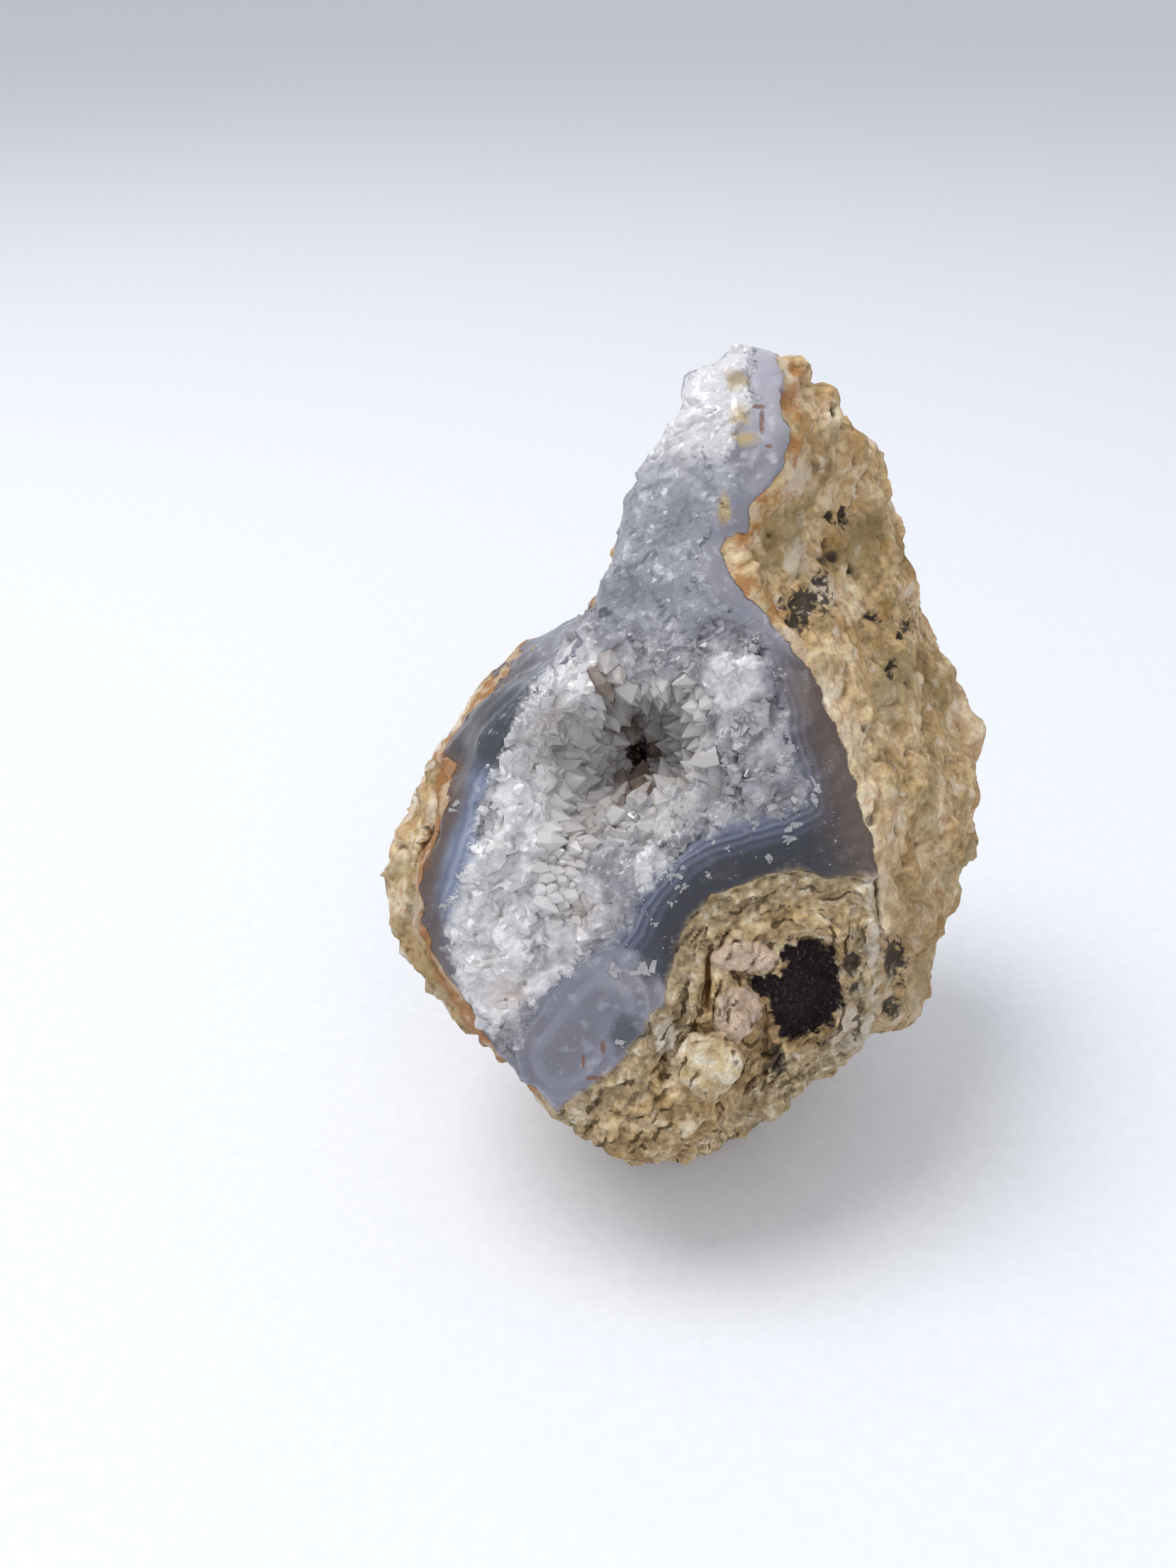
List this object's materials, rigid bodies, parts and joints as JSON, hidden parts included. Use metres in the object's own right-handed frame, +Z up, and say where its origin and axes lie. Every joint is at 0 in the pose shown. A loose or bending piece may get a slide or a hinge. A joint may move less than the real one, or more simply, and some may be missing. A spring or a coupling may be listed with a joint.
{
  "type": "rough blue lace agate specimen",
  "caption": "Broken piece of banded blue lace agate with a lumpy tan rind and a small quartz-lined hollow in its fracture face, standing on a small flat foot.",
  "frame": {"origin": "a point near the middle of the small flat foot that the stone stands on", "axes": "+Z up through the peak, -Y towards the viewer of the fracture face, +X to that viewer's right"},
  "size_m": [0.0602, 0.0516, 0.0802],
  "materials": {
    "agate_and_rind": "rough tan and ochre rind, and a fractured face of pale blue-grey banded agate and white sugary quartz",
    "quartz_points": "clear to milky quartz points with glassy flat faces"
  },
  "bodies": {
    "root": {"agate_stone": "agate_and_rind", "druse_crust": "quartz_points"}
  },
  "joints": []
}
